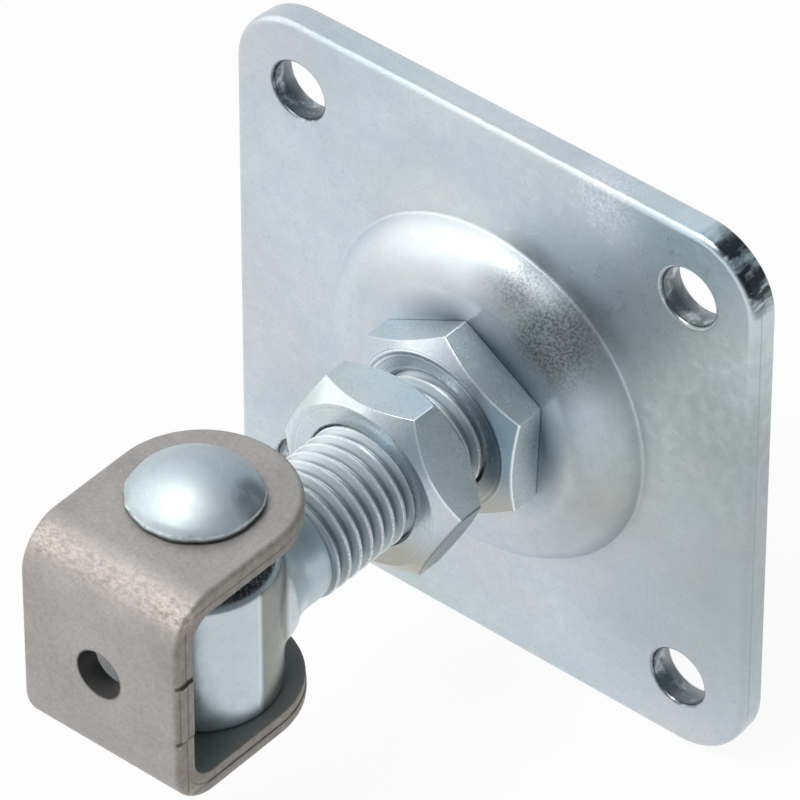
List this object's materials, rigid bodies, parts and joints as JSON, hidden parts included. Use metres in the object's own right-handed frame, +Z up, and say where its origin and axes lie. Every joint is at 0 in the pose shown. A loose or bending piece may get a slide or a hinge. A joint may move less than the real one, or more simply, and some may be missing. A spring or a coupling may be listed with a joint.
{
  "type": "adjustable gate hinge",
  "caption": "Bolt-on gate hinge: a square wall plate with a domed seat, a threaded eye bolt set by a captive nut, and a folded weld-on bracket that swings on a rivet",
  "frame": {"origin": "centre of the plate's back face, which is also the centre of its screw pattern", "axes": "+Y into the wall, -Y out of the wall along the stud, +Z up along the rivet, +X to the right seen from in front of the plate"},
  "size_m": [0.1, 0.0933, 0.1],
  "materials": {
    "zinc_plate": "blue-white zinc plating on pressed sheet",
    "zinc_nut": "bright zinc plating",
    "zinc_forging": "zinc plating on a forging with rolled thread",
    "raw_steel": "bare hot-rolled steel, matt",
    "zinc_rivet": "bright zinc plating"
  },
  "bodies": {
    "plate": {"mounting_plate": "zinc_plate"},
    "adjuster": {"adjusting_nut": "zinc_nut"},
    "bolt": {"eye_bolt": "zinc_forging"},
    "locker": {"lock_nut": "zinc_nut"},
    "rivet": {"hinge_rivet": "zinc_rivet"},
    "bracket": {"gate_bracket": "raw_steel"}
  },
  "joints": [
    {"name": "nut_turn", "type": "hinge", "parent": "plate", "child": "adjuster", "pos_m": [0, 0, 0], "axis": [0, 1, 0], "range_deg": [0, 1152]},
    {"name": "bolt_travel", "type": "slide", "parent": "plate", "child": "bolt", "axis": [0, -1, 0], "range_m": [0, 0.008]},
    {"name": "lock_nut_travel", "type": "slide", "parent": "bolt", "child": "locker", "axis": [0, 1, 0], "range_m": [-0.01, 0.0064]},
    {"name": "rivet_play", "type": "slide", "parent": "bolt", "child": "rivet", "axis": [0, 0, 1], "range_m": [-0.0064, 0]},
    {"name": "gate_swing", "type": "hinge", "parent": "rivet", "child": "bracket", "pos_m": [0, -0.0717, 0], "axis": [0, 0, 1], "range_deg": [-112, 112]}
  ],
  "couplings": [
    {"joint": "nut_turn", "follows": "bolt_travel", "rad_per_m": 2513.3}
  ]
}
